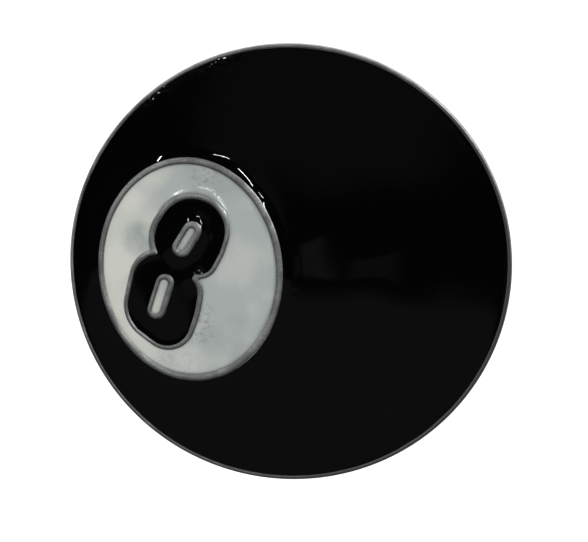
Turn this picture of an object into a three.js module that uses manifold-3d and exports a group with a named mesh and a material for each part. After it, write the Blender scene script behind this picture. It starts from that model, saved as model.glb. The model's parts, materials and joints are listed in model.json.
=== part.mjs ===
// Eight-ball belt buckle, in millimetres, +Z up, as it is worn: the enamelled face looks
// along -Y and the belt runs along X behind it. y = 0 is the plane of the back's border,
// and the origin is the middle of that plane.
import * as THREE from "three";
import { mergeVertices } from "three/addons/utils/BufferGeometryUtils.js";
import Module from "manifold-3d";

const wasm = await Module();
wasm.setup();

// Cast plate. Heights on the plate are counted from the back plane towards the face.
const plateRadius = 38;
const plateThickness = 2.4;
const backEdgeRound = 0.6;
const frontEdgeRound = 0.4;
const rimWidth = 0.6;
const cellFloor = 1.5;
const backRecess = 0.4;
const backBorder = 3.2;
const cartouche = { x: 0, y: 0, radiusX: 7, radiusY: 11, lean: 0 };

// Raised metal lines of the design, and the cells of enamel that they hold. The outside
// of a line is set off a little from its inside, so most lines are widest at the upper right.
const upperBowlLine = { width: 0.9, x: -0.08, y: 0.1 };
const lowerBowlLine = { width: 0.82, x: 0.17, y: 0.12 };
const upperCounterLine = { width: 1.05, x: 0.15, y: 0.1 };
const lowerCounterLine = { width: 0.85, x: 0.15, y: 0.05 };
const ringLine = { widthX: 1, widthY: 1.16, x: 0.15, y: 0.01 };
const spot = { x: -17.3, y: -1.08, radiusX: 14.9, radiusY: 18.42, lean: 5 };
const enamelTop = 2.25;
const enamelGap = 0.05;

// Each bowl of the 8, and each slot in it, is a band stretched round circles: x, y, radius.
// The waist blunts the two notches where the bowls meet.
const upperBowl = [
  [-16.8, 5.7, 5.65],
  [-17.5, 4.2, 5.85],
  [-15.7, 0.7, 2.6],
];
const lowerBowl = [
  [-22.7, -2.8, 4.4],
  [-22.25, -7.45, 5.85],
  [-19.95, -5.35, 4],
  [-21.3, -10.55, 3.95],
];
const waist = [[-19.8, -0.45, 3.6]];
const upperCounter = [
  [-18.8, 2.7, 0.58],
  [-16.95, 5.7, 0.58],
];
const lowerCounter = [
  [-23.25, -8.25, 0.72],
  [-21.75, -3.5, 0.72],
];
const countersWithLines = [
  [upperCounter, upperCounterLine],
  [lowerCounter, lowerCounterLine],
];

// Wire bail that the belt hangs on, for a belt 38 mm wide, and the lugs that hold it.
const wireRadius = 1.5;
const hingeX = 9;
const hingeY = 3;
const bailBarX = 27;
const bailArmZ = 21.5;
const bailEndZ = 14.3;
const barBend = 4.5;
const endBend = 2.5;
const peenRadius = 1.95;
const peenLength = 0.8;
const lugInnerZ = 15.5;
const lugThickness = 3;
const lugRadius = 3.1;
const lugBore = 1.6;
const lugFootLength = 9;
const lugFootRound = 0.3;

// Stud that goes through a hole in the belt's other end.
const studX = -22;
const studTop = 7.4;
const studFlangeRadius = 5;
const studFlangeThickness = 0.9;
const studShankRadius = 2;
const studHeadRadius = 3.6;
const studHeadThickness = 2.2;

// Solder that fillets each fitting to the back of the plate.
const solderWidth = 0.8;
const solderHeight = 0.5;

const discSteps = 96;
const ovalSteps = 72;
const slotSteps = 32;
const roundSteps = 3;
const studSteps = 36;
const wireSides = 16;
const wireSteps = 90;

const castMetal = new THREE.MeshStandardMaterial({
  color: 0x85878a,
  roughness: 0.42,
  metalness: 1,
});
const wireMetal = new THREE.MeshStandardMaterial({
  color: 0xa3a5a7,
  roughness: 0.3,
  metalness: 1,
});
const solderMetal = new THREE.MeshStandardMaterial({
  color: 0x9a9ca0,
  roughness: 0.5,
  metalness: 1,
});
const blackEnamel = new THREE.MeshStandardMaterial({
  color: 0x050505,
  roughness: 0.06,
  metalness: 0,
});
const whiteEnamel = new THREE.MeshStandardMaterial({
  color: 0xc9cdc8,
  roughness: 0.12,
  metalness: 0,
});

// A closed three.js geometry as a manifold-3d solid.
function solid(geometry) {
  const bare = geometry.clone();
  bare.deleteAttribute("normal");
  bare.deleteAttribute("uv");
  const merged = mergeVertices(bare, 1e-4);
  return new wasm.Manifold(
    new wasm.Mesh({
      numProp: 3,
      vertProperties: new Float32Array(merged.attributes.position.array),
      triVerts: new Uint32Array(merged.index.array),
    }),
  );
}

// A manifold-3d solid as a three.js geometry.
function geometryOf(made) {
  const { vertProperties, triVerts } = made.getMesh();
  const indexed = new THREE.BufferGeometry();
  indexed.setAttribute("position", new THREE.BufferAttribute(vertProperties, 3));
  indexed.setIndex(new THREE.BufferAttribute(triVerts, 1));
  const geometry = indexed.toNonIndexed();
  geometry.computeVertexNormals();
  return geometry;
}

// Outline of an oval, made larger all round by grow.
function ovalPoints({ x, y, radiusX, radiusY, lean }, grow = 0) {
  const centre = new THREE.Vector2(x, y);
  const points = [];
  for (let i = 0; i < ovalSteps; i++) {
    const angle = (i / ovalSteps) * 2 * Math.PI;
    const acrossX = x + (radiusX + grow) * Math.cos(angle);
    const acrossY = y + (radiusY + grow) * Math.sin(angle);
    const point = new THREE.Vector2(acrossX, acrossY);
    points.push(point.rotateAround(centre, THREE.MathUtils.degToRad(lean)));
  }
  return points;
}

// Outline of a band stretched round circles, made larger all round by grow: in each
// direction it touches the circle that reaches furthest that way.
function bandPoints(circles, grow = 0, steps = ovalSteps) {
  const points = [];
  for (let i = 0; i < steps; i++) {
    const angle = (i / steps) * 2 * Math.PI;
    const cos = Math.cos(angle);
    const sin = Math.sin(angle);
    const reach = ([x, y, radius]) => x * cos + y * sin + radius;
    const furthest = circles.reduce((a, b) => (reach(b) > reach(a) ? b : a));
    const [x, y, radius] = furthest;
    points.push(new THREE.Vector2(x + (radius + grow) * cos, y + (radius + grow) * sin));
  }
  return points;
}

// Circles for the outside of the metal line round a band of circles.
function outside(circles, line) {
  return circles.map(([x, y, radius]) => [x + line.x, y + line.y, radius + line.width]);
}

// The outside of the metal ring round the spot.
function ringOval() {
  return {
    x: spot.x + ringLine.x,
    y: spot.y + ringLine.y,
    radiusX: spot.radiusX + ringLine.widthX,
    radiusY: spot.radiusY + ringLine.widthY,
    lean: spot.lean,
  };
}

// Slab on an outline, with an optional hole, between two heights above the outline's plane.
function slab(outline, bottom, top, hole) {
  const shape = new THREE.Shape(outline);
  if (hole) shape.holes.push(new THREE.Path(hole));
  const geometry = new THREE.ExtrudeGeometry(shape, { depth: top - bottom, bevelEnabled: false });
  return geometry.translate(0, 0, bottom);
}

// Bands that run into one another, as one solid.
function joinedBands(bands, grow, bottom, top) {
  const slabs = bands.map((band) => solid(slab(bandPoints(band, grow), bottom, top)));
  return slabs.reduce((joined, next) => joined.add(next));
}

// The 8 with the metal line round it, as one solid.
function numeralWithLine(grow, bottom, top) {
  const bands = [outside(upperBowl, upperBowlLine), outside(lowerBowl, lowerBowlLine)];
  return joinedBands(bands, grow, bottom, top);
}

// Points of a quarter circle in a lathe profile, from one angle to the next a quarter on.
function quarter(centreRadius, centreHeight, radius, fromAngle) {
  const points = [];
  for (let i = 0; i <= roundSteps; i++) {
    const angle = fromAngle + (i / roundSteps) * (Math.PI / 2);
    const across = centreRadius + radius * Math.cos(angle);
    points.push(new THREE.Vector2(across, centreHeight + radius * Math.sin(angle)));
  }
  return points;
}

// Disc with a rim round the enamel on its face and a border round its back.
function plateDisc() {
  const backField = plateRadius - backBorder;
  const cell = plateRadius - rimWidth;
  const frontRound = plateRadius - frontEdgeRound;
  const profile = [
    new THREE.Vector2(0, backRecess),
    new THREE.Vector2(backField - backRecess, backRecess),
    new THREE.Vector2(backField, 0),
    ...quarter(plateRadius - backEdgeRound, backEdgeRound, backEdgeRound, -Math.PI / 2),
    ...quarter(frontRound, plateThickness - frontEdgeRound, frontEdgeRound, 0),
    new THREE.Vector2(cell, plateThickness),
    new THREE.Vector2(cell, cellFloor),
    new THREE.Vector2(0, cellFloor),
  ];
  return new THREE.LatheGeometry(profile, discSteps).rotateX(Math.PI / 2);
}

function bucklePlate() {
  const rooted = (cellFloor + backRecess) / 2;
  const ring = slab(ovalPoints(ringOval()), rooted, plateThickness, ovalPoints(spot));
  const numeralCell = joinedBands([upperBowl, lowerBowl, waist], 0, 0, plateThickness + 1);
  let plate = solid(plateDisc())
    .add(solid(slab(ovalPoints(cartouche), 0, rooted)))
    .add(solid(ring))
    .add(numeralWithLine(0, rooted, plateThickness).subtract(numeralCell));
  for (const [counter, line] of countersWithLines) {
    const wall = slab(
      bandPoints(outside(counter, line), 0, slotSteps),
      rooted,
      plateThickness,
      bandPoints(counter, 0, slotSteps),
    );
    plate = plate.add(solid(wall));
  }
  return geometryOf(plate);
}

function fieldEnamel() {
  const rimCircle = [[0, 0, plateRadius - rimWidth]];
  const rimSide = bandPoints(rimCircle, -enamelGap, discSteps);
  return slab(rimSide, cellFloor, enamelTop, ovalPoints(ringOval(), enamelGap));
}

function spotEnamel() {
  const whole = solid(slab(ovalPoints(spot, -enamelGap), cellFloor, enamelTop));
  return geometryOf(whole.subtract(numeralWithLine(enamelGap, 0, plateThickness)));
}

function numeralEnamel() {
  let numeral = joinedBands([upperBowl, lowerBowl, waist], -enamelGap, cellFloor, enamelTop);
  for (const [counter, line] of countersWithLines) {
    const wallSide = bandPoints(outside(counter, line), enamelGap, slotSteps);
    numeral = numeral.subtract(solid(slab(wallSide, 0, plateThickness)));
  }
  return geometryOf(numeral);
}

function counterEnamel(counter) {
  return slab(bandPoints(counter, -enamelGap, slotSteps), cellFloor, enamelTop);
}

// Lug across the hinge: a wide foot drawn in to a round eye for the wire.
function hingeLug(lowZ) {
  const footX = lugFootLength / 2 - lugFootRound;
  const footY = lugFootRound - backRecess;
  const circles = [
    [hingeX, hingeY, lugRadius],
    [hingeX - footX, footY, lugFootRound],
    [hingeX + footX, footY, lugFootRound],
  ];
  const bore = bandPoints([[hingeX, hingeY, lugBore]], 0, slotSteps);
  return slab(bandPoints(circles), lowZ, lowZ + lugThickness, bore);
}

// Bead of solder round the foot of a lug.
function lugSolder(lowZ) {
  const footLength = lugFootLength + 2 * enamelGap;
  const footWidth = lugThickness + 2 * enamelGap;
  const bead = new THREE.BoxGeometry(
    footLength + 2 * solderWidth,
    solderHeight,
    footWidth + 2 * solderWidth,
  );
  const foot = new THREE.BoxGeometry(footLength, 2 * solderHeight, footWidth);
  const bored = geometryOf(solid(bead).subtract(solid(foot)));
  return bored.translate(hingeX, solderHeight / 2 - backRecess, lowZ + lugThickness / 2);
}

// Centre line of the bail's wire, from one end round the bar to the other.
class BailLine extends THREE.Curve {
  constructor() {
    super();
    const turn = Math.PI / 2;
    const endX = hingeX + endBend;
    const endZ = bailArmZ - endBend;
    const cornerX = bailBarX - barBend;
    const cornerZ = bailArmZ - barBend;
    this.flat = new THREE.Path();
    this.flat.moveTo(hingeX, -bailEndZ);
    this.flat.lineTo(hingeX, -endZ);
    this.flat.absarc(endX, -endZ, endBend, 2 * turn, 3 * turn);
    this.flat.absarc(cornerX, -cornerZ, barBend, 3 * turn, 4 * turn);
    this.flat.absarc(cornerX, cornerZ, barBend, 0, turn);
    this.flat.absarc(endX, endZ, endBend, turn, 2 * turn);
    this.flat.lineTo(hingeX, bailEndZ);
  }

  getPoint(t) {
    const { x, y } = this.flat.getPoint(t);
    return new THREE.Vector3(x, hingeY, y);
  }
}

// Head hammered onto an end of the wire, so that it can't draw out of its lug.
function peenedHead(side) {
  const flat = peenRadius * 0.6;
  const profile = [
    new THREE.Vector2(0, 0),
    new THREE.Vector2(flat, 0),
    new THREE.Vector2(peenRadius, peenLength / 2),
    new THREE.Vector2(flat, peenLength),
    new THREE.Vector2(0, peenLength),
  ];
  const head = new THREE.LatheGeometry(profile, wireSides).rotateX(side * (Math.PI / 2));
  return head.translate(hingeX, hingeY, side * bailEndZ);
}

function wireBail() {
  const section = new THREE.Shape(bandPoints([[0, 0, wireRadius]], 0, wireSides));
  const loop = new THREE.ExtrudeGeometry(section, {
    steps: wireSteps,
    extrudePath: new BailLine(),
  });
  return geometryOf(solid(loop).add(solid(peenedHead(1))).add(solid(peenedHead(-1))));
}

// Stud turned about Y: flange, shank and a head rounded over to a small flat.
function beltStud() {
  const flangeTop = studFlangeThickness - backRecess;
  const headBottom = studTop - studHeadThickness;
  const headRound = studHeadThickness / 2;
  const neck = studHeadRadius - headRound;
  const profile = [
    new THREE.Vector2(0, -backRecess),
    new THREE.Vector2(studFlangeRadius, -backRecess),
    new THREE.Vector2(studFlangeRadius, flangeTop),
    new THREE.Vector2(studShankRadius, flangeTop),
    new THREE.Vector2(studShankRadius, headBottom),
    ...quarter(neck, headBottom + headRound, headRound, -Math.PI / 2),
    ...quarter(neck, studTop - headRound, headRound, 0).slice(1),
    new THREE.Vector2(0, studTop),
  ];
  return new THREE.LatheGeometry(profile, studSteps).translate(studX, 0, 0);
}

// Solder round the stud's flange, sloping down to the plate.
function studSolder() {
  const inner = studFlangeRadius + enamelGap;
  const profile = [
    new THREE.Vector2(inner, -backRecess),
    new THREE.Vector2(inner + solderWidth, -backRecess),
    new THREE.Vector2(inner, solderHeight - backRecess),
    new THREE.Vector2(inner, -backRecess),
  ];
  return new THREE.LatheGeometry(profile, studSteps).translate(studX, 0, 0);
}

function part(parent, name, geometry, material) {
  const mesh = new THREE.Mesh(geometry, material);
  mesh.name = name;
  parent.add(mesh);
}

const buckle = new THREE.Group();

// On the face, x is across, y is up and heights stand towards the viewer, along -Y.
const face = new THREE.Group();
face.rotation.x = Math.PI / 2;
buckle.add(face);
part(face, "buckle_plate", bucklePlate(), castMetal);
part(face, "field_enamel", fieldEnamel(), blackEnamel);
part(face, "spot_enamel", spotEnamel(), whiteEnamel);
part(face, "numeral_enamel", numeralEnamel(), blackEnamel);
part(face, "upper_counter_enamel", counterEnamel(upperCounter), whiteEnamel);
part(face, "lower_counter_enamel", counterEnamel(lowerCounter), whiteEnamel);

const lowerLugZ = -lugInnerZ - lugThickness;
part(buckle, "upper_hinge_lug", hingeLug(lugInnerZ), castMetal);
part(buckle, "lower_hinge_lug", hingeLug(lowerLugZ), castMetal);
part(buckle, "upper_lug_solder", lugSolder(lugInnerZ), solderMetal);
part(buckle, "lower_lug_solder", lugSolder(lowerLugZ), solderMetal);
part(buckle, "wire_bail", wireBail(), wireMetal);
part(buckle, "belt_stud", beltStud(), castMetal);
part(buckle, "stud_solder", studSolder(), solderMetal);

export default buckle;
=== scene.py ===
"""Looks of the eight-ball belt buckle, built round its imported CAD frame.

Lengths are millimetres in the frame's own axes, until a mesh is made. The face is drawn in
the plane of the plate: across is x, up is z, and height is how far a point stands out of the
back plane towards the viewer, so height is -y.
"""

import json
import math

import bmesh
import bpy
import numpy as np
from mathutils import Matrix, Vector, kdtree, noise
from mathutils.geometry import delaunay_2d_cdt


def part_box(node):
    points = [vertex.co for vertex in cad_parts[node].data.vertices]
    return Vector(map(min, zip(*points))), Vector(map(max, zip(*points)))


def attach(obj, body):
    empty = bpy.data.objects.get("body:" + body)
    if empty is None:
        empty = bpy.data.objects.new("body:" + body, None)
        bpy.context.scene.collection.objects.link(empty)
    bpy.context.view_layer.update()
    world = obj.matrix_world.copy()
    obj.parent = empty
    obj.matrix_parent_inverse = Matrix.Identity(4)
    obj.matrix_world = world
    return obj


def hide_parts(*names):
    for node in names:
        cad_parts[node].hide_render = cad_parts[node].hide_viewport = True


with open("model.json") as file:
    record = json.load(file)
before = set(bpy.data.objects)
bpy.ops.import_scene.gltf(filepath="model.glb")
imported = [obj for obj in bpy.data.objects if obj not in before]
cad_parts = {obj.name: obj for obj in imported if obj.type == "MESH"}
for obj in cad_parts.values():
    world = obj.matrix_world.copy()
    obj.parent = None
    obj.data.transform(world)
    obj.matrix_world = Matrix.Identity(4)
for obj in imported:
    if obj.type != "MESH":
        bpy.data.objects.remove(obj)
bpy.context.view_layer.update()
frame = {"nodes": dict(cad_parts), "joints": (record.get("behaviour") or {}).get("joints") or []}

MM = 0.001

# Fine shape of the casting's raised lines and of the enamel that wets them.
LINE_SHOULDER = 0.2  # a line's rounded top drops this far at its edges
LINE_ROUND = 0.42  # over this width
RIM_SHOULDER = 0.08
RIM_ROUND = 0.2
RIM_WIDER = 0.03  # the rim is this much wider than the CAD's all round
RIM_LEAN = 0.1  # and this much more at the right, less at the left
RIM_WOBBLE = 0.05
EDGE_WOBBLE = 0.02
CREST_WEAR = 0.03
EDGE_TARNISH = 0.4  # share of its rubbed brightness that a raised line loses at its edges
RIM_LOWER_RIGHT_SHADE = 0.95  # and that the rim loses at the lower right, as painted shade
ENAMEL_LEVEL = 1.92
ENAMEL_SWELL = 0.012  # it rises and falls this much away from the metal
ENAMEL_CONTACT = 0.28  # a full climb ends this far below the metal's top
ENAMEL_REACH = 0.8  # the enamel's climb dies away over this length
CONTACT_WOBBLE = 0.006
WALL_CLIMB = 0.12  # share of the full climb that the enamel makes at its outer wall
NOTCH = (-16.5, -2.4)  # the 8's right-hand notch, where its enamel climbs its wall
NOTCH_CLIMB = 0.8
NOTCH_REACH = 2.4
RELAX_PASSES = 400

# Fine wrinkles of the black enamel beside the rim: directions and half widths in degrees.
CRINKLES = ((110.5, 8), (128.3, 5))
CRINKLE_HEIGHT = 0.32
CRINKLE_SIZE = 0.42
CRINKLE_BAND = (0.5, 1.2)  # how far from the rim they start to fade, and end

# Spacing of the meshes: along outlines, and rows of points at steps from them.
LOOP_SPACING = 0.22
RIM_POINTS = 760
ROW_STEPS = (0.06, 0.13, 0.21, 0.3, 0.41, 0.54, 0.7, 0.9, 1.15, 1.5, 2)
TOP_STEPS = (0.015, 0.05, 0.1, 0.17, 0.26, 0.36)
RIM_STEPS = (0.015, 0.05, 0.1, 0.15)
ROW_KEPT = 0.93  # a row's point stays if no edge is nearer than this share of its step
GRID_ROW = 0.87  # rows of a grid of near-equal triangles, in spacings
BACK_SPACING = 0.55
BACK_RING_POINTS = 520
BLANK_RING_POINTS = 200

# Fine shape of the back.
BACK_SLOPE = 0.4
PEBBLE_HEIGHT = 0.14
PEBBLE_SIZES = (1.1, 2.3)
DING_HEIGHT = 0.02
DING_SIZE = 1.6

# Back hardware; its places come from the frame.
WIRE = 1.5
WIRE_STEP = 0.35
WIRE_POINTS = 40
BAR_BEND = 4.5
END_BEND = 2.5
BAIL_END = 14.3
# The bail's hammered end: distances from its tip, and radii.
PEEN = ((0, 0.02), (0, 0.8), (0.06, 1.3), (0.2, 1.72), (0.4, 1.93), (0.62, 1.86), (0.85, WIRE))
LUG_BORE = 1.6
LUG_COUNTERSINK = 0.25
LUG_FOOT_ROUND = 0.3
LUG_EDGE = 0.4
LUG_POINTS = 120
STUD_FLANGE = 0.9
STUD_FLANGE_ROUND = 0.25
STUD_SHANK = 2
STUD_SHANK_FILLET = 0.5
STUD_HEAD = 2.2
STUD_HEAD_RADIUS = 3.6
STUD_HEAD_FILLET = 0.3
STUD_CROWN = 0.1  # the head's edge lies this far below its flat top
SOLDER_WIDTH = 0.85
SOLDER_HEIGHT = 0.5
SOLDER_SINK = 0.04  # its base lies this far inside the plate
# The bead's hollow-sided section: out and up, in widths and heights.
SOLDER_SECTION = (
    (-0.15, 0), (1, 0), (0.72, 0.3), (0.45, 0.42), (0.22, 0.62), (0.07, 0.85), (-0.15, 1)
)

# Colours, linear.
# The darkest casting colour is its tarnish in recesses and also the painted shade on the rim's
# lower right.
TARNISH_AND_SHADE = (0.26, 0.27, 0.267)
RUBBED = (0.54, 0.56, 0.553)
GRIME = (0.2, 0.208, 0.205)
# The white enamel runs from the first of these at the left to the darker second at the right: a
# tint change and painted shade.
WARM_WHITE = (0.53, 0.54, 0.49)
COOL_SHADED_WHITE = (0.34, 0.37, 0.36)
THIN_WHITE = (0.21, 0.245, 0.24)
FULL_WHITE = (0.45, 0.465, 0.44)
# Grey of the specks, also used as the painted shade where the white enamel meets the metal.
SPECK_AND_EDGE_SHADE = (0.11, 0.12, 0.115)

# Patches of the white enamel: where, how far they reach, how strong, and their colour.
WHITE_PATCHES = (
    (-25.9, 4.4, 3.8, 0.75, THIN_WHITE),
    (-12.5, 15.5, 7, 0.4, THIN_WHITE),
    (-8.5, -13, 5.5, 0.25, THIN_WHITE),
    (-13.8, -13.5, 3.5, 0.4, THIN_WHITE),
    (-10, 0.5, 6, 0.65, FULL_WHITE),
    (-18, -17.5, 5.5, 0.9, FULL_WHITE),
    (-27.5, -10.5, 5, 0.5, WARM_WHITE),
)
# Clusters of specks in it: where, how far they reach, how strong.
SPECK_PATCHES = (
    (-14.6, 14.6, 3.6, 0.65),
    (-15.4, -11.5, 3.4, 0.75),
    (-15, -8, 2.2, 0.6),
    (-20, -17, 5, 0.3),
)

# Camera and light: angles in degrees, the stage's lengths in metres, face points in mm.
CAMERA_AZIMUTH = 3.87
CAMERA_ELEVATION = 10.72
CAMERA_DISTANCE = 0.45
CAMERA_LENS = 160.7
CAMERA_SHIFT = (0.00709, -0.00975)
BACKDROP = 1.05
AMBIENT = (0.64, 0.96)  # from below and from above
FLOOR_GLOW = 0.34
FLOOR_Z = -0.1
FLOOR_HALF = 8
LAMP_DISTANCE = 1.2
LAMP_RADIANCE = 140
LAMPS_LIGHT = ((-17.3, -1.1), 22)  # the lamps are shaded to light the face round this point

# Lamps that glint in the enamel beside the ring: the face points where the glint starts
# and ends, and how thick the lamp looks in degrees.
LAMPS = (
    ((-22.64, 17.74), (-22.05, 18.54), 0.2),
    ((-13.17, 18.97), (-10.3, 18.28), 0.07),
    ((-8.93, 16.64), (-6.38, 13.59), 0.13),
    ((-5.36, 12.53), (-4.56, 11.46), 0.2),
    ((-4.49, 10.77), (-4.3, 10), 0.3),
)

# What metal reflects: soft round lights by direction, angle where they start to fade,
# angle where they end, and radiance, over a dim room.
ROOM_DARK = 0.09
ROOM_LIGHTS = (
    ((-0.6, -0.25, 0.75), 10, 75, 0.55),
    ((0.84, -0.12, 0.51), 4, 26, 7),
    ((0.2, 0.95, 0.2), 8, 45, 2),
    ((-0.85, 0.5, 0.2), 5, 40, 0.7),
    ((0.85, 0.45, -0.35), 5, 45, 0.2),
)
# What black enamel mirrors to the camera: soft shapes by direction across and up, half
# sizes and radiance, over the dark round the camera and a dim table below it.
FACED_DARK = 0.01
FACED_ROOM = 0.05  # share of the room's lights that it also mirrors
GLARE = ((0.57, -0.36, -0.74), 10, 24, 26)  # a light that only steep wrinkles catch
TABLE_EDGE = (-0.192, -0.202)  # it fades in between these heights
TABLE_GLOW = 0.075
SHAPE_BLUR = 0.25  # a shape's edge is this share of its half size, in and out
FACED_SHAPES = (
    (-0.055, -0.125, 0.045, 0.03, 0.045),
    (-0.063, -0.185, 0.012, 0.006, 0.09),
    (-0.035, -0.187, 0.012, 0.004, 0.05),
)


# --- Outlines on the face ---


def signed_area(points):
    """Area of a closed outline, negative if it runs clockwise."""
    following = np.roll(points, -1, axis=0)
    return 0.5 * np.sum(points[:, 0] * following[:, 1] - following[:, 0] * points[:, 1])


def face_outlines(node, end=min):
    """Outlines of a CAD node's front (min y) or back (max y) face, largest first."""
    solid = bmesh.new()
    solid.from_mesh(frame["nodes"][node].data)
    bmesh.ops.remove_doubles(solid, verts=solid.verts, dist=1e-6)
    level = end(vert.co.y for vert in solid.verts)
    faces = [f for f in solid.faces if all(abs(v.co.y - level) < 1e-6 for v in f.verts)]
    on_level = set(faces)
    following = {}
    for face in faces:
        for corner in face.loops:
            beyond = [f for f in corner.edge.link_faces if f is not face]
            if not on_level.issuperset(beyond):
                following[corner.vert] = corner.link_loop_next.vert
    outlines = []
    while following:
        vert = next(iter(following))
        outline = []
        while vert in following:
            outline.append((vert.co.x / MM, vert.co.z / MM))
            vert = following.pop(vert)
        outlines.append(np.array(outline))
    solid.free()
    outlines = [o if signed_area(o) > 0 else o[::-1] for o in outlines]
    return sorted(outlines, key=lambda o: -signed_area(o))


def lengths(vectors):
    """How long each vector is."""
    return np.linalg.norm(vectors, axis=1)


def even_points(curve, count):
    """A closed curve resampled to evenly spaced points."""
    closed = np.vstack([curve, curve[:1]])
    run = np.r_[0, np.cumsum(lengths(np.diff(closed, axis=0)))]
    places = np.linspace(0, run[-1], count, endpoint=False)
    return np.column_stack([np.interp(places, run, closed[:, k]) for k in (0, 1)])


def smooth_outline(corners, spacing):
    """A smooth closed curve through an outline's corners, at an even spacing."""
    before = np.roll(corners, 1, axis=0)
    after = np.roll(corners, -1, axis=0)
    gap_before = lengths(corners - before)[:, None]
    gap_after = lengths(after - corners)[:, None]
    tangent = (after - before) / (gap_before + gap_after)
    t = np.linspace(0, 1, 16, endpoint=False)[None, :, None]
    start, end = corners[:, None], after[:, None]
    start_slope = (tangent * gap_after)[:, None]
    end_slope = (np.roll(tangent, -1, axis=0) * gap_after)[:, None]
    curve = (
        (2 * t**3 - 3 * t**2 + 1) * start
        + (t**3 - 2 * t**2 + t) * start_slope
        + (3 * t**2 - 2 * t**3) * end
        + (t**3 - t**2) * end_slope
    ).reshape(-1, 2)
    length = np.sum(lengths(np.roll(curve, -1, axis=0) - curve))
    fine = even_points(curve, int(round(length / spacing)))
    for _ in range(2):
        fine = 0.5 * fine + 0.25 * (np.roll(fine, 1, axis=0) + np.roll(fine, -1, axis=0))
    return fine


def smoothstep(low, high, value):
    """0 to 1, eased, as value goes from low to high."""
    share = np.clip((value - low) / (high - low), 0, 1)
    return share * share * (3 - 2 * share)


def outward(points):
    """Unit normals of a counter-clockwise outline, pointing out of it."""
    along = np.roll(points, -1, axis=0) - np.roll(points, 1, axis=0)
    along /= lengths(along)[:, None]
    return np.column_stack([along[:, 1], -along[:, 0]])


def noise_at(points, size, seed):
    """Smooth noise of about unit height at face points, with features of a given size."""
    return np.array([noise.noise(Vector((x / size, y / size, seed))) for x, y in points])


def wobbled(points, seed):
    """An outline with the slight unevenness of a cast line."""
    shift = EDGE_WOBBLE * noise_at(points, 2.5, seed)
    return points + outward(points) * shift[:, None]


def circle(radius, count):
    """Points round a circle about the origin."""
    angle = np.linspace(0, 2 * math.pi, count, endpoint=False)
    return radius * np.column_stack([np.cos(angle), np.sin(angle)])


def inside(points, outline):
    """Whether each point lies inside a closed outline."""
    hit = np.zeros(len(points), bool)
    ends = np.roll(outline, -1, axis=0)
    for (x0, y0), (x1, y1) in zip(outline, ends):
        crosses = (y0 > points[:, 1]) != (y1 > points[:, 1])
        if not crosses.any():
            continue
        at = x0 + (points[:, 1] - y0) * (x1 - x0) / (y1 - y0)
        hit ^= crosses & (points[:, 0] < at)
    return hit


# --- Triangulated sheets ---


def nearest_tree(outlines):
    """Search tree over densely sampled outlines, for distances to them."""
    dense = np.vstack([even_points(o, len(o) * 4) for o in outlines])
    tree = kdtree.KDTree(len(dense))
    for i, (x, y) in enumerate(dense):
        tree.insert((x, y, 0), i)
    tree.balance()
    return tree


def distances(points, tree):
    """How far each point is from the nearest point of a search tree."""
    return np.array([tree.find((x, y, 0))[2] for x, y in points])


def rows_beside(outline, side, steps, tree):
    """Rows of points beside an outline, with those that come near another edge left out."""
    normal = outward(outline)
    rows = []
    for step in steps:
        row = outline + side * step * normal
        rows.append(row[distances(row, tree) > ROW_KEPT * step])
    return rows


def grid_between(outer, spacing, clear, tree):
    """Evenly spread points inside an outline that keep clear of every edge."""
    low, high = outer.min(0), outer.max(0)
    points = []
    for row, y in enumerate(np.arange(low[1], high[1], spacing * GRID_ROW)):
        for x in np.arange(low[0] + (row % 2) * spacing / 2, high[0], spacing):
            points.append((x, y))
    points = np.array(points)
    points = points[inside(points, outer)]
    return points[distances(points, tree) > clear]


def triangulate(outlines, loose):
    """Delaunay triangles over outlines and loose points, and each outline's vertex numbers."""
    points = np.vstack(list(outlines) + list(loose))
    edges = []
    start = 0
    for outline in outlines:
        count = len(outline)
        edges += [(start + i, start + (i + 1) % count) for i in range(count)]
        start += count
    made = delaunay_2d_cdt([Vector(p) for p in points], edges, [], 0, 1e-7)
    made_verts, _, made_tris, sources, _, _ = made
    verts = np.array([(v.x, v.y) for v in made_verts])
    tris = np.array(made_tris)
    a, b, c = verts[tris[:, 0]], verts[tris[:, 1]], verts[tris[:, 2]]
    turn = (b - a)[:, 0] * (c - a)[:, 1] - (b - a)[:, 1] * (c - a)[:, 0]
    tris[turn < 0] = tris[turn < 0][:, ::-1]
    number = np.zeros(len(points), int)
    for made_vert, originals in enumerate(sources):
        number[list(originals)] = made_vert
    ids = []
    start = 0
    for outline in outlines:
        ids.append(number[start : start + len(outline)])
        start += len(outline)
    return verts, tris, ids


def in_region(points, outer, holes):
    """Whether each point lies inside an outline and outside its holes."""
    kept = inside(points, outer)
    for hole in holes:
        kept &= ~inside(points, hole)
    return kept


def open_edges(tris):
    """Directed edges that only one triangle of a set has."""
    edges = {}
    for a, b, c in tris:
        for edge in ((a, b), (b, c), (c, a)):
            edges[edge] = True
    return [(a, b) for a, b in edges if (b, a) not in edges]


def relax(verts, tris, fixed, start, reach):
    """Height of a liquid surface held at its fixed points, whose rise dies away over reach.

    Solves laplace(height) = height / reach^2 on the triangles with cotangent weights.
    """
    pairs, weights = [], []
    area = np.zeros(len(verts))
    for k in range(3):
        i, j, opposite = tris[:, k], tris[:, (k + 1) % 3], tris[:, (k + 2) % 3]
        u, v = verts[i] - verts[opposite], verts[j] - verts[opposite]
        double_area = np.abs(u[:, 0] * v[:, 1] - u[:, 1] * v[:, 0]) + 1e-9
        pairs.append((i, j))
        weights.append(np.clip(0.5 * np.sum(u * v, axis=1) / double_area, 0, 1e3))
        np.add.at(area, i, double_area / 6)
    one = np.concatenate([p[0] for p in pairs] + [p[1] for p in pairs])
    other = np.concatenate([p[1] for p in pairs] + [p[0] for p in pairs])
    weight = np.concatenate(weights * 2)
    whole_weight = np.bincount(one, weight, len(verts)) + area / reach**2
    height = start.copy()
    for _ in range(RELAX_PASSES):
        pulled = np.bincount(one, weight * height[other], len(verts)) / whole_weight
        height = np.where(fixed, start, pulled)
    return height


# --- Pieces ---


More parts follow.
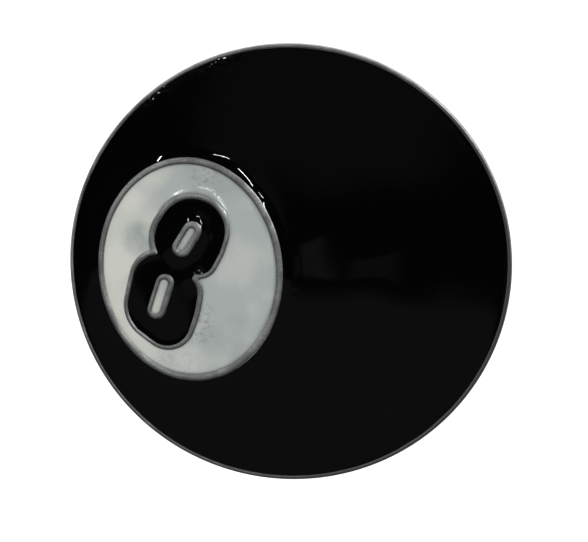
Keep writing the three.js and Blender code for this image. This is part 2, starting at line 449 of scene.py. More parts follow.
def make_piece(name, verts, faces, node, body, look, sharp=45):
    """A piece from vertices in mm that stands for a CAD node and rides on its body."""
    mesh = bpy.data.meshes.new(name)
    mesh.from_pydata((np.asarray(verts) * MM).tolist(), [], [tuple(f) for f in faces])
    mesh.update()
    mesh.shade_smooth()
    mesh.set_sharp_from_angle(angle=math.radians(sharp))
    mesh.materials.append(look)
    piece = bpy.data.objects.new(name, mesh)
    bpy.context.scene.collection.objects.link(piece)
    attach(piece, body)
    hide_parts(node)
    return piece


def on_face(points, height):
    """Face points at a height as x, y, z."""
    return np.column_stack([points[:, 0], -height, points[:, 1]])


class Face:
    """The outlines of the face's raised lines, smoothed from the CAD plate."""

    def __init__(self):
        crest, rim, *lines = face_outlines("buckle_plate")
        self.crest_radius = lengths(crest).mean()
        self.rim_radius = lengths(rim).mean()
        self.crest = circle(self.crest_radius, RIM_POINTS)
        self.rim = self.uneven_rim()
        made = []
        for seed, corners in enumerate(lines):
            made.append(wobbled(smooth_outline(corners, LOOP_SPACING), seed + 0.5))
        self.ring_out, self.ring_in, self.eight_out, self.eight_in, *slots = made
        self.low_out, self.high_out, self.low_in, self.high_in = slots
        # Each line's outer and inner edge.
        self.lines = (made[0:2], made[2:4], slots[0::2], slots[1::2])

    def uneven_rim(self):
        """Inner edge of the rim: a little wider at the right, uneven all round."""
        base = circle(self.rim_radius, RIM_POINTS)
        lean = RIM_LEAN * base[:, 0] / self.rim_radius
        shift = RIM_WOBBLE * noise_at(base, 3, 7.3) - RIM_WIDER - lean
        return base * (1 + shift[:, None] / self.rim_radius)


def enamel_fill(name, node, outer, holes, spacing, look, climbs=()):
    """Enamel between raised lines: it wets its outer wall and climbs the lines it surrounds.

    climbs says how far it climbs each line that it surrounds, as a share of the whole way.
    """
    tree = nearest_tree([outer] + holes)
    rows = rows_beside(outer, -1, ROW_STEPS, tree)
    for hole in holes:
        rows += rows_beside(hole, 1, ROW_STEPS, tree)
    rows.append(grid_between(outer, spacing, ROW_STEPS[-1] + spacing / 2, tree))
    verts, tris, ids = triangulate([outer] + holes, rows)
    tris = tris[in_region(verts[tris].mean(axis=1), outer, holes)]
    used = np.unique(tris)
    renumber = np.zeros(len(verts), int)
    renumber[used] = np.arange(len(used))
    verts, tris = verts[used], renumber[tris]
    fixed = np.zeros(len(verts), bool)
    rise = np.zeros(len(verts))
    for ring, climb in zip(ids, (wall_climb(outer), *climbs)):
        edge = renumber[ring]
        fixed[edge] = True
        rise[edge] = climb * (contact_height(verts[edge]) - ENAMEL_LEVEL)
    start = np.where(fixed, rise, 0)
    height = ENAMEL_LEVEL + relax(verts, tris, fixed, start, ENAMEL_REACH)
    height += (ENAMEL_SWELL * noise_at(verts, 9, 3.7) + crinkle(verts)) * ~fixed
    count = len(verts)
    faces = [tuple(t) for t in tris]
    faces += [(b, a, a + count, b + count) for a, b in open_edges(tris)]
    faces += [(c + count, b + count, a + count) for a, b, c in tris]
    both = np.vstack([on_face(verts, height), on_face(verts, np.full(count, CELL_FLOOR))])
    fill = make_piece(name, both, faces, node, "plate", look)
    from_metal = distances(verts, tree)
    from_metal[fixed] = 0
    store(fill, "from_metal", np.tile(from_metal * MM, 2))
    return fill


def wall_climb(points):
    """Share of the full climb at points of an outer wall: little, but for the 8's notch."""
    from_notch = lengths(points - NOTCH)
    return WALL_CLIMB + NOTCH_CLIMB * smoothstep(NOTCH_REACH, 0, from_notch)


def crinkle(points):
    """Fine wrinkles that the enamel has beside the rim at the upper left."""
    from_rim = face.rim_radius - lengths(points)
    turn = np.degrees(np.arctan2(points[:, 1], points[:, 0]))
    share = np.zeros(len(points))
    for middle, reach in CRINKLES:
        share += smoothstep(reach, 0.6 * reach, np.abs(turn - middle))
    fade, end = CRINKLE_BAND
    share *= smoothstep(end, fade, from_rim)
    return CRINKLE_HEIGHT * share * noise_at(points, CRINKLE_SIZE, 5.1)


def contact_height(points):
    """Height at which the enamel wets the metal, at points on the metal's edge."""
    return PLATE_FRONT - ENAMEL_CONTACT + CONTACT_WOBBLE * noise_at(points, 1.3, 9.1)


# --- The casting ---


def rounded(distance, width, drop):
    """How far a rounded shoulder lies below its top, at a distance from its edge."""
    share = np.clip(distance / width, 0, 1)
    return drop * (1 - share) ** 2


def rim_shaded_brightness(points):
    """Share of its rubbed brightness that the rim keeps under painted shade, darkest at the
    lower right.
    """
    towards = (points[:, 0] - 0.5 * points[:, 1]) / face.crest_radius
    return 1 - RIM_LOWER_RIGHT_SHADE * smoothstep(0.1, 0.7, towards)


def plate_front():
    """Front of the casting: cells with upright sides, and lines and a rim with round tops."""
    line_edges = [edge for pair in face.lines for edge in pair]
    outlines = [face.crest, face.rim] + line_edges
    rows = rows_beside(face.rim, 1, RIM_STEPS, nearest_tree([face.rim, face.crest]))
    for outer, inner in face.lines:
        tree = nearest_tree([outer, inner])
        rows += rows_beside(outer, -1, TOP_STEPS, tree)
        rows += rows_beside(inner, 1, TOP_STEPS, tree)
    verts, tris, ids = triangulate(outlines, rows)
    centres = verts[tris].mean(axis=1)
    on_rim = ~inside(centres, face.rim)
    raised = on_rim.copy()
    for outer, inner in face.lines:
        raised |= in_region(centres, outer, [inner])
    from_rim = distances(verts, nearest_tree([face.rim]))
    from_line = distances(verts, nearest_tree(line_edges))
    for edge in ids[1:]:
        from_rim[edge] *= from_rim[edge] > LOOP_SPACING
        from_line[edge] *= from_line[edge] > LOOP_SPACING
    rim_side = lengths(verts) > face.crest_radius - 1
    drop = np.where(
        rim_side,
        rounded(from_rim, RIM_ROUND, RIM_SHOULDER),
        rounded(from_line, LINE_ROUND, LINE_SHOULDER),
    )
    worn = np.abs(noise_at(verts, 1.7, 4.4))
    drop += CREST_WEAR * worn * (1 - drop / LINE_SHOULDER)
    drop[ids[0]] = 0
    height = PLATE_FRONT - drop
    wear_and_shade = np.clip(1 - EDGE_TARNISH * drop / LINE_SHOULDER, 0, 1)
    # Painted shade: the rim is made darker towards the lower right.
    wear_and_shade = np.where(rim_side, wear_and_shade * rim_shaded_brightness(verts), wear_and_shade)
    return verts, tris, ids[0], raised, height, wear_and_shade


def plate_back():
    """Back of the casting: a border and a blank oval left standing round a pebbled field."""
    border, border_inner, blank = face_outlines("buckle_plate", max)
    border_radius = lengths(border_inner).mean()
    back_radius = lengths(border).mean()
    blank_size = blank.max(0)
    rim = circle(back_radius, RIM_POINTS)
    across_slope = np.arange(0, BACK_SLOPE + 0.15, 0.1) - BACK_SLOPE - 0.05
    rows = [circle(border_radius + s, BACK_RING_POINTS) for s in across_slope]
    rows += [circle(1, BLANK_RING_POINTS) * (blank_size + s) for s in across_slope]
    tree = nearest_tree([rim] + rows)
    rows.append(grid_between(rim, BACK_SPACING, BACK_SPACING * 0.6, tree))
    verts, tris, ids = triangulate([rim], rows)
    radius = lengths(verts)
    blank_share = lengths(verts / blank_size)
    past_blank = (blank_share - 1) * blank_size.mean()
    standing = np.maximum(
        smoothstep(border_radius - BACK_SLOPE, border_radius, radius),
        smoothstep(0, -BACK_SLOPE, past_blank),
    )
    small, large = PEBBLE_SIZES
    pebbles = 0.5 * noise_at(verts, small, 2.2) + 0.5 * noise_at(verts, large, 6.2)
    field = (1 - standing) * (BACK_RECESS + PEBBLE_HEIGHT * pebbles)
    dings = DING_HEIGHT * standing * np.clip(noise_at(verts, DING_SIZE, 8.8) - 0.25, 0, 1)
    dings[ids[0]] = 0
    return verts, tris, ids[0], field + dings, standing


def edge_profile():
    """Radius and height of the plate's rounded edge, from the crest to the back."""
    front_round = PLATE_RADIUS - face.crest_radius
    back_round = PLATE_RADIUS - BACK_FLAT_RADIUS
    front = arc((face.crest_radius, PLATE_FRONT - front_round), front_round, 90, 0, 8)
    back = arc((BACK_FLAT_RADIUS, back_round), back_round, 0, -90, 8)
    return front[1:] + back[:-1]


def plate_casting(look):
    """The whole casting as one closed surface: front, cells, rounded edge and back."""
    front, front_tris, front_edge, raised, height, front_wear_and_shade = plate_front()
    back, back_tris, back_edge, back_height, back_wear = plate_back()
    count = len(front)
    verts = [on_face(front, height), on_face(front, np.full(count, CELL_FLOOR))]
    wear_and_shade = [front_wear_and_shade, np.full(count, 0.1)]
    faces = []
    for tri, top in zip(front_tris, raised):
        faces.append(tuple(tri) if top else tuple(tri + count))
    for a, b in open_edges(front_tris[raised]):
        if not on_outer_edge(front[[a, b]]):
            faces.append((b, a, a + count, b + count))
    ring = list(front_edge)
    made_count = 2 * count
    for radius, level in edge_profile():
        around = circle(radius, RIM_POINTS)
        verts.append(on_face(around, np.full(RIM_POINTS, level)))
        # The rounded edge takes the rim's painted shade too.
        wear_and_shade.append(0.8 * rim_shaded_brightness(around))
        next_ring = list(range(made_count, made_count + RIM_POINTS))
        faces += bridge(ring, next_ring)
        ring = next_ring
        made_count += RIM_POINTS
    verts.append(on_face(back, back_height))
    wear_and_shade.append(back_wear)
    faces += bridge(ring, [made_count + i for i in back_edge])
    faces += [tuple(tri[::-1] + made_count) for tri in back_tris]
    verts, faces, wear_and_shade = drop_unused(np.vstack(verts), faces, np.concatenate(wear_and_shade))
    plate = make_piece("plate_casting", verts, faces, "buckle_plate", "plate", look)
    store(plate, "wear_and_shade", wear_and_shade)


def on_outer_edge(points):
    """Whether all of a few points lie on the crest, where the front ends."""
    return np.all(lengths(points) > face.crest_radius - 1e-3)


def bridge(ring, next_ring):
    """Quads between two rings of the same count."""
    following = ring[1:] + ring[:1]
    next_following = next_ring[1:] + next_ring[:1]
    return [(b, a, c, d) for a, b, c, d in zip(ring, following, next_ring, next_following)]


def drop_unused(verts, faces, values):
    """The same surface without the vertices that no face uses."""
    used = np.zeros(len(verts), bool)
    for f in faces:
        used[list(f)] = True
    renumber = np.cumsum(used) - 1
    return verts[used], [tuple(int(renumber[i]) for i in f) for f in faces], values[used]


def store(piece, name, values):
    """A value at every vertex, for the piece's material to read."""
    attribute = piece.data.attributes.new(name, "FLOAT", "POINT")
    attribute.data.foreach_set("value", np.asarray(values, np.float32))


# --- Back hardware ---


def grid_faces(rings, count, closed):
    """Quads over rings of count points each; closed joins the last ring to the first."""
    faces = []
    for k in range(rings if closed else rings - 1):
        here, there = k * count, (k + 1) % rings * count
        for i in range(count):
            j = (i + 1) % count
            faces.append((here + i, here + j, there + j, there + i))
    return faces


def turned(profile, centre_x, count):
    """Closed surface turned about a line along y, from (radius, y) points end to end."""
    verts = [(centre_x, profile[0][1], 0)]
    for radius, y in profile[1:-1]:
        for x, z in circle(radius, count):
            verts.append((centre_x + x, y, z))
    verts.append((centre_x, profile[-1][1], 0))
    rings = len(profile) - 2
    faces = [tuple(i + 1 for i in f) for f in grid_faces(rings, count, False)]
    last = 1 + (rings - 1) * count
    for i in range(count):
        j = (i + 1) % count
        faces.append((0, 1 + j, 1 + i))
        faces.append((len(verts) - 1, last + i, last + j))
    return np.array(verts), faces


def arc(centre, radius, start, end, steps):
    """Points of an arc, as (across, along), with its angles in degrees."""
    angles = np.radians(np.linspace(start, end, steps))
    return [(centre[0] + radius * math.cos(a), centre[1] + radius * math.sin(a)) for a in angles]


def belt_stud(look):
    """Turned stud: a flange, a neck and a round-edged head. Gives its foot's outline."""
    low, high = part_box("belt_stud")
    foot, top = low.y / MM, high.y / MM
    centre_x = (low.x + high.x) / 2 / MM
    flange = (high.x - low.x) / 2 / MM
    flange_top = foot + STUD_FLANGE
    head_low = top - STUD_HEAD
    head_round = (STUD_HEAD - STUD_CROWN) / 2
    flat = STUD_HEAD_RADIUS - head_round
    lower, upper = STUD_SHANK_FILLET, STUD_HEAD_FILLET
    edge = STUD_FLANGE_ROUND
    profile = [(0, foot), (flange, foot)]
    profile += arc((flange - edge, flange_top - edge), edge, 0, 90, 5)
    profile += arc((STUD_SHANK + lower, flange_top + lower), lower, 270, 180, 7)
    profile += arc((STUD_SHANK + upper, head_low - upper), upper, 180, 90, 5)
    profile += arc((flat, head_low + head_round), head_round, -80, 0, 8)
    profile += arc((flat, top - STUD_CROWN - head_round), head_round, 0, 78, 8)
    profile += [(flat * 0.7, top - STUD_CROWN / 5), (flat * 0.35, top), (0, top)]
    verts, faces = turned(profile, centre_x, 96)
    make_piece("stud_turned", verts, faces, "belt_stud", "plate", look, sharp=60)
    return circle(flange, 200) + (centre_x, 0)


def band(circles, grow, count):
    """Outline of a band stretched round circles, one point for each direction."""
    points = []
    for ux, uy in circle(1, count):
        x, y, radius = max(circles, key=lambda c: c[0] * ux + c[1] * uy + c[2])
        points.append((x + (radius + grow) * ux, y + (radius + grow) * uy))
    return points


def hinge_lug(node, look):
    """Lug with softened edges and a countersunk bore, as rings joined into one surface."""
    low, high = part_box(node)
    top = high.y / MM - HINGE_Y
    foot_x = (high.x - low.x) / 2 / MM - LUG_FOOT_ROUND
    foot_y = low.y / MM + LUG_FOOT_ROUND
    circles = [
        (HINGE_X, HINGE_Y, top),
        (HINGE_X - foot_x, foot_y, LUG_FOOT_ROUND),
        (HINGE_X + foot_x, foot_y, LUG_FOOT_ROUND),
    ]
    bore = [(HINGE_X, HINGE_Y, LUG_BORE)]
    z0, z1 = low.z / MM, high.z / MM
    section = []
    for grow, inset in arc((-LUG_EDGE, LUG_EDGE), LUG_EDGE, -90, 0, 5):
        section.append((circles, grow, z0 + inset))
    for grow, inset in arc((-LUG_EDGE, LUG_EDGE), LUG_EDGE, 0, -90, 5):
        section.append((circles, grow, z1 - inset))
    sunk = LUG_COUNTERSINK
    section += [(bore, sunk, z1), (bore, 0, z1 - sunk), (bore, 0, z0 + sunk), (bore, sunk, z0)]
    verts = []
    for outline, grow, z in section:
        verts += [(x, y, z) for x, y in band(outline, grow, LUG_POINTS)]
    verts = np.array(verts)
    verts[:, 1] = np.maximum(verts[:, 1], low.y / MM)
    faces = grid_faces(len(section), LUG_POINTS, True)
    make_piece(node + "_pressed", verts, faces, node, "plate", look, sharp=50)


def bail_line():
    """Centre line of the bail's wire in x and z, and how far along it each point is."""
    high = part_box("wire_bail")[1]
    bar_x = high.x / MM - WIRE
    arm_z = high.z / MM - WIRE
    bends = [
        ((HINGE_X + END_BEND, -arm_z + END_BEND), END_BEND, 180, 270),
        ((bar_x - BAR_BEND, -arm_z + BAR_BEND), BAR_BEND, 270, 360),
        ((bar_x - BAR_BEND, arm_z - BAR_BEND), BAR_BEND, 0, 90),
        ((HINGE_X + END_BEND, arm_z - END_BEND), END_BEND, 90, 180),
    ]
    points = [(HINGE_X, -BAIL_END)]
    for centre, radius, start, end in bends:
        points += arc(centre, radius, start, end, 14)
    points.append((HINGE_X, BAIL_END))
    points = np.array(points)
    run = np.r_[0, np.cumsum(lengths(np.diff(points, axis=0)))]
    return points, run


def wire_bail(look):
    """Bail: round wire on its centre line, with a head hammered onto each end."""
    points, run = bail_line()
    length = run[-1]
    places = list(PEEN)
    places += [(s, WIRE) for s in np.arange(1.2, length - 1.1, WIRE_STEP)]
    places += [(length - s, radius) for s, radius in reversed(PEEN)]
    count = WIRE_POINTS
    verts = []
    turned_by = circle(1, count)
    for s, radius in places:
        centre = np.array([np.interp(s, run, points[:, i]) for i in (0, 1)])
        ahead = np.array([np.interp(s + 0.2, run, points[:, i]) for i in (0, 1)])
        behind = np.array([np.interp(s - 0.2, run, points[:, i]) for i in (0, 1)])
        along = (ahead - behind) / np.linalg.norm(ahead - behind)
        side = np.array([along[1], -along[0]])
        for u, v in turned_by * radius:
            x, z = centre + side * u
            verts.append((x, HINGE_Y + v, z))
    verts = np.array(verts)
    faces = grid_faces(len(places), count, False)
    faces.append(tuple(range(count))[::-1])
    faces.append(tuple(range(len(verts) - count, len(verts))))
    bail = make_piece("bail_wire", verts, faces, "wire_bail", "bail", look, sharp=60)
    store(bail, "along", np.repeat([s * MM for s, _ in places], count))
    for name, part in zip(("around_x", "around_y"), turned_by.T):
        store(bail, name, np.tile(part * WIRE * MM, len(places)))


def solder_fillet(name, node, foot, look):
    """Solder round a foot's outline: a hollow-sided bead of uneven width and height."""
    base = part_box(node)[0].y / MM - SOLDER_SINK
    normal = outward(foot)
    wide = SOLDER_WIDTH * (1 + 0.35 * noise_at(foot, 1.6, 5.5))
    tall = SOLDER_HEIGHT * (1 + 0.3 * noise_at(foot, 1.4, 1.5))
    verts = []
    for out, up in SOLDER_SECTION:
        points = foot + normal * (out * wide)[:, None]
        for (x, z), y in zip(points, base + up * tall):
            verts.append((x, y, z))
    faces = [f[::-1] for f in grid_faces(len(SOLDER_SECTION), len(foot), True)]
    make_piece(name, np.array(verts), faces, node, "plate", look, sharp=70)


def lug_foot(node):
    """Rounded oblong where a lug stands on the plate."""
    low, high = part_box(node)
    half_x, half_z = (high.x - low.x) / 2 / MM, (high.z - low.z) / 2 / MM
    centre_z = (low.z + high.z) / 2 / MM
    corner = 0.4
    corners = []
    for side_x in (-1, 1):
        for side_z in (-1, 1):
            corners.append((side_x * (half_x - corner), side_z * (half_z - corner), corner))
    outline = np.array(band(corners, 0, 160)) + (HINGE_X, centre_z)
    return even_points(outline, 150)


# --- Shader nodes ---


def node(tree, kind, sockets=None, **settings):
    """A shader node; a socket's value is a number, a colour or another node's output."""
    made = tree.nodes.new("ShaderNode" + kind)
    for name, value in settings.items():
        setattr(made, name, value)
    for name, value in (sockets or {}).items():
        if isinstance(value, bpy.types.NodeSocket):
            tree.links.new(value, made.inputs[name])
        else:
            made.inputs[name].default_value = value
    return made


def stored(tree, name):
    """The value that a piece stores at its vertices under a name."""
    return node(tree, "Attribute", attribute_name=name).outputs["Fac"]


def calc(tree, operation, *values):
    """Result of a sum on numbers."""
    sockets = dict(enumerate(values))
    return node(tree, "Math", sockets, operation=operation).outputs[0]


def vector_calc(tree, operation, *values):
    """Node that does a sum on vectors."""
    return node(tree, "VectorMath", dict(enumerate(values)), operation=operation)


def ramp(tree, value, low, high, start=0.0, end=1.0):
    """value's way from low to high, eased, as a number from start to end."""
    sockets = {"Value": value, "From Min": low, "From Max": high, "To Min": start, "To Max": end}
    return node(tree, "MapRange", sockets, interpolation_type="SMOOTHSTEP").outputs[0]


def blend(tree, share, low, high):
    """A colour between two, by share."""
    low, high = [(*c, 1) if isinstance(c, tuple) else c for c in (low, high)]
    return node(tree, "Mix", {0: share, 6: low, 7: high}, data_type="RGBA").outputs[2]


def spread(tree, where, size, stretch=(1, 1, 1)):
    """Places in units of size mm, stretched by a factor along each axis."""
    scale = tuple(1 / (size * MM * s) for s in stretch)
    return vector_calc(tree, "MULTIPLY", where, scale).outputs[0]


def grain(tree, where, size, detail=2.0, stretch=(1, 1, 1)):
    """Noise from 0 to 1 with features of about size mm."""
    sockets = {"Vector": spread(tree, where, size, stretch), "Scale": 1.0, "Detail": detail}
    return node(tree, "TexNoise", sockets).outputs[0]


def specks(tree, where, size, radius, share):
    """Round specks, 1 at their middles: radius in parts of size mm, in a share of places."""
    cells = node(tree, "TexVoronoi", {"Vector": spread(tree, where, size), "Scale": 1.0})
    chosen = calc(tree, "LESS_THAN", cells.outputs["Color"], share)
    return times(tree, ramp(tree, cells.outputs["Distance"], radius, 0), chosen)


def patch(tree, x, z, centre_x, centre_z, reach):
    """1 at a face point, fading to 0 at reach mm from it."""
    off_x = calc(tree, "SUBTRACT", x, centre_x * MM)
    off_z = calc(tree, "SUBTRACT", z, centre_z * MM)
    squared = total(tree, [times(tree, off, off) for off in (off_x, off_z)])
    return ramp(tree, squared, (reach * MM) ** 2, 0)


def times(tree, one, other):
    """Product of two numbers."""
    return calc(tree, "MULTIPLY", one, other)


def total(tree, values):
    """Sum of some numbers."""
    result = values[0]
    for value in values[1:]:
        result = calc(tree, "ADD", result, value)
    return result


def material(name):
    """A new material, its node tree and the place of a point on its piece."""
    made = bpy.data.materials.new(name)
    made.use_nodes = True
    tree = made.node_tree
    return made, tree, node(tree, "TexCoord").outputs["Object"]


def finished(made, color, rough, normal=None, **values):
    """The material with its shader's sockets set: Emission_Color is its Emission Color."""
    tree = made.node_tree
    values.update(Base_Color=color, Roughness=rough)
    if normal is not None:
        values["Normal"] = normal
    for name, value in values.items():
        socket = tree.nodes["Principled BSDF"].inputs[name.replace("_", " ")]
        if isinstance(value, bpy.types.NodeSocket):
            tree.links.new(value, socket)
        else:
            socket.default_value = value
    return made


def bump(tree, height, depth, below=None):
    """Normal of a height from 0 to 1 that stands for depth mm, on top of another normal."""
    sockets = {"Height": height, "Distance": depth * MM, "Strength": 1.0}
    if below is not None:
        sockets["Normal"] = below
    return node(tree, "Bump", sockets).outputs[0]


# --- Materials ---


def cast_metal():
    """Dull plated casting: dark in its recesses, rubbed lighter where it stands proud, and
    painted darker on the rim's lower right as shade.
    """
    made, tree, where = material("cast_metal")
    # The stored value holds the rubbing of the raised parts and the painted shade on the rim's
    # lower right.
    wear_and_shade = stored(tree, "wear_and_shade")
    stains = grain(tree, where, 3.5, 4)
    fine = grain(tree, where, 0.3, 3)
    rubbed_and_shaded = times(tree, wear_and_shade, ramp(tree, stains, 0.35, 0.65, 0.4, 1))
    color = blend(tree, rubbed_and_shaded, TARNISH_AND_SHADE, RUBBED)
    color = blend(tree, ramp(tree, stains, 0.6, 0.35, 0, 0.35), color, GRIME)
    color = blend(tree, ramp(tree, fine, 0.4, 0.65, 0, 0.5), color, GRIME)
    scratches = total(tree, [
        ramp(tree, grain(tree, where, 0.12, 1, (12, 1, 1)), 0.68, 0.8),
        ramp(tree, grain(tree, where, 0.12, 1, (1, 1, 14)), 0.69, 0.8),
    ])
    color = blend(tree, times(tree, scratches, 0.3), color, (0.6, 0.6, 0.58))
    polish = times(tree, rubbed_and_shaded, -0.06)
    rough = total(tree, [ramp(tree, fine, 0.3, 0.7, 0.44, 0.6), polish])
    normal = bump(tree, grain(tree, where, 0.35, 3), 0.03)
    normal = bump(tree, scratches, -0.004, normal)
    return finished(made, color, rough, normal, Metallic=1.0)


def black_enamel():
    """Deep black enamel, a mirror but for a faint orange peel, pinholes and dull dust."""
    made, tree, where = material("black_enamel")
    pinholes = specks(tree, where, 1.8, 0.05, 0.3)
    dust = specks(tree, where, 1.1, 0.05, 0.12)
    color = blend(tree, dust, (0.0004, 0.0004, 0.0004), (0.05, 0.05, 0.045))
    rough = times(tree, dust, 0.4)
    normal = bump(tree, grain(tree, where, 4, 1), 0.001)
    normal = bump(tree, pinholes, -0.01, normal)
    return finished(made, color, rough, normal, IOR=1.5)


def speck_clusters(tree, x, z, blots):
    """1 on the specks that lie in clusters, 0 between them: blots is noise of their size."""
    marked = total(tree, [
        times(tree, patch(tree, x, z, *place), strength)
        for *place, strength in SPECK_PATCHES
    ])
    limited = calc(tree, "MINIMUM", marked, 1.0)
    return times(tree, ramp(tree, blots, 0.5, 0.7), limited)


def white_enamel():
    """White enamel: warm at the left and cooler to the right, painted darker towards the right
    as shade, with painted shade where it meets the metal, patches and specks.
    """
    made, tree, where = material("white_enamel")
    x, _, z = node(tree, "SeparateXYZ", {0: where}).outputs
    from_metal = stored(tree, "from_metal")
    clouds = grain(tree, where, 5.5, 3)
    wisps = grain(tree, where, 3, 2)
    ripples = grain(tree, where, 0.7, 1)
    pits = specks(tree, where, 1.3, 0.08, 0.3)
    # Lighter and warmer at the left, darker and cooler to the right: a tint change with painted
    # shade from light at the left, plus random clouds.
    tone = ramp(tree, x, -31 * MM, -17 * MM)
    tone = calc(tree, "ADD", tone, ramp(tree, clouds, 0.3, 0.7, -0.25, 0.25))
    color = blend(tree, calc(tree, "MAXIMUM", tone, 0.0), WARM_WHITE, COOL_SHADED_WHITE)
    for *place, strength, patch_color in WHITE_PATCHES:
        uneven = ramp(tree, wisps, 0.25, 0.65, 0.5 * strength, strength)
        share = times(tree, patch(tree, x, z, *place), uneven)
        color = blend(tree, share, color, patch_color)
    # Painted shade where the enamel meets the metal: a band that widens towards the right and
    # blends towards the speck grey.
    widest = ramp(tree, x, -30 * MM, -8 * MM, 0.2 * MM, 0.75 * MM)
    edge_shade_reach = times(tree, widest, ramp(tree, wisps, 0.3, 0.7, 0.6, 1.2))
    edge_shade = ramp(tree, from_metal, edge_shade_reach, 0)
    color = blend(tree, times(tree, edge_shade, 0.34), color, SPECK_AND_EDGE_SHADE)
    marks = calc(tree, "MAXIMUM", speck_clusters(tree, x, z, ripples), pits)
    color = blend(tree, times(tree, marks, 0.5), color, SPECK_AND_EDGE_SHADE)
    rough = ramp(tree, clouds, 0.3, 0.7, 0.07, 0.11)
    normal = bump(tree, grain(tree, where, 1.4, 2), 0.006)
    normal = bump(tree, ripples, 0.003, normal)
    normal = bump(tree, pits, -0.01, normal)
    return finished(made, color, rough, normal, IOR=1.75)


def fitting_metal():
    """Plated fittings: satin, with fine marks from the press and the lathe."""
    made, tree, where = material("fitting_metal")
    stains = grain(tree, where, 2.2, 4)
    fine = grain(tree, where, 0.14, 2, (4, 4, 1))
    color = blend(tree, ramp(tree, stains, 0.35, 0.7), (0.5, 0.5, 0.49), (0.36, 0.355, 0.34))
    dull = ramp(tree, stains, 0.4, 0.7, 0, 0.1)
    rough = total(tree, [ramp(tree, fine, 0.3, 0.7, 0.22, 0.36), dull])
    normal = bump(tree, fine, 0.006)
    return finished(made, color, rough, normal, Metallic=1.0)


def wire_metal():
    """Drawn wire: fine lines along its length, rubbed bright, darker in patches."""
    made, tree, where = material("wire_metal")
    along, around_x, around_y = [stored(tree, n) for n in ("along", "around_x", "around_y")]
    unrolled = node(tree, "CombineXYZ", {0: along, 1: around_x, 2: around_y}).outputs[0]
    lines = grain(tree, unrolled, 0.09, 2, (60, 1, 1))
    stains = grain(tree, where, 3, 4)
    color = blend(tree, ramp(tree, stains, 0.35, 0.7), (0.56, 0.56, 0.55), (0.4, 0.395, 0.38))
    color = blend(tree, ramp(tree, lines, 0.55, 0.75, 0, 0.4), color, (0.25, 0.25, 0.245))
    dull = ramp(tree, stains, 0.4, 0.7, 0, 0.08)
    rough = total(tree, [ramp(tree, lines, 0.3, 0.7, 0.2, 0.32), dull])
    normal = bump(tree, lines, 0.008)
    return finished(made, color, rough, normal, Metallic=1.0)


def solder_metal():
    """Solder: bright and lumpy, with a dull skin in places."""
    made, tree, where = material("solder")
    skin = ramp(tree, grain(tree, where, 0.9, 4), 0.4, 0.65)
    color = blend(tree, skin, (0.6, 0.6, 0.6), (0.34, 0.335, 0.32))
    rough = ramp(tree, skin, 0, 1, 0.24, 0.5)
    normal = bump(tree, grain(tree, where, 0.5, 3), 0.05)
    return finished(made, color, rough, normal, Metallic=1.0)


def floor_paint():
    """Pale matt paint that glows a little, so that the backdrop stays clean."""
    made, tree, where = material("pale_floor")
    shade = ramp(tree, grain(tree, where, 400, 2), 0.3, 0.7, 0.9, 0.94)
    color = node(tree, "CombineColor", {0: shade, 1: shade, 2: shade}).outputs[0]
    glow = {"Emission_Color": (1, 1, 1, 1), "Emission_Strength": FLOOR_GLOW}
    return finished(made, color, 0.9, **glow)


# --- Stage ---


def soft_light(tree, way, direction, inner, outer, radiance):
    """A round light in the surroundings that fades between two angles off its direction."""
    aim = tuple(Vector(direction).normalized())
    faced = vector_calc(tree, "DOT_PRODUCT", way, aim).outputs["Value"]
    end, start = math.cos(math.radians(outer)), math.cos(math.radians(inner))
    return ramp(tree, faced, end, start, 0, radiance)


def soft_shape(tree, across, up, centre_x, centre_z, half_x, half_z, radiance):
    """A soft-edged oblong in the surroundings."""
    within = []
    for way, centre, half in ((across, centre_x, half_x), (up, centre_z, half_z)):
        off = calc(tree, "ABSOLUTE", calc(tree, "SUBTRACT", way, centre))
        within.append(ramp(tree, off, half * (1 + SHAPE_BLUR), half * (1 - SHAPE_BLUR)))
    return times(tree, times(tree, *within), radiance)


def studio_world():
    """White surroundings for the camera, soft room light, and a dim room in reflections."""
    world = bpy.data.worlds.new("studio")
    bpy.context.scene.world = world
    world.use_nodes = True
    tree = world.node_tree
    tree.nodes.clear()
    way = node(tree, "TexCoord").outputs["Generated"]
    across, _, up = node(tree, "SeparateXYZ", {0: way}).outputs
    room = total(tree, [ROOM_DARK] + [soft_light(tree, way, *light) for light in ROOM_LIGHTS])
    shapes = [soft_shape(tree, across, up, *shape) for shape in FACED_SHAPES]
    table = ramp(tree, up, *TABLE_EDGE, 0, TABLE_GLOW)
    mirrored = total(tree, [
        FACED_DARK,
        calc(tree, "MAXIMUM", table, total(tree, shapes)),
        times(tree, room, FACED_ROOM),
        soft_light(tree, way, *GLARE),
    ])
    lit = ramp(tree, up, -1, 1, *AMBIENT)
    rays = node(tree, "LightPath").outputs
    reflected = either(tree, rays["Is Singular Ray"], room, mirrored)
    unseen = either(tree, rays["Is Glossy Ray"], lit, reflected)
    strength = either(tree, rays["Is Camera Ray"], unseen, BACKDROP)
    sockets = {"Color": (1, 1, 1, 1), "Strength": strength}
    glow = node(tree, "Background", sockets)
    node(tree, "OutputWorld", {0: glow.outputs[0]})


def either(tree, share, low, high):
    """A number between two, by share."""
    return node(tree, "Mix", {0: share, 2: low, 3: high}).outputs[0]


def stage_sheet(name, corners, look):
    """A flat four-cornered sheet that belongs to the stage."""
    mesh = bpy.data.meshes.new(name)
    mesh.from_pydata(corners, [], [(0, 1, 2, 3)])
    mesh.materials.append(look)
    sheet = bpy.data.objects.new(name, mesh)
    bpy.context.scene.collection.objects.link(sheet)
    return sheet


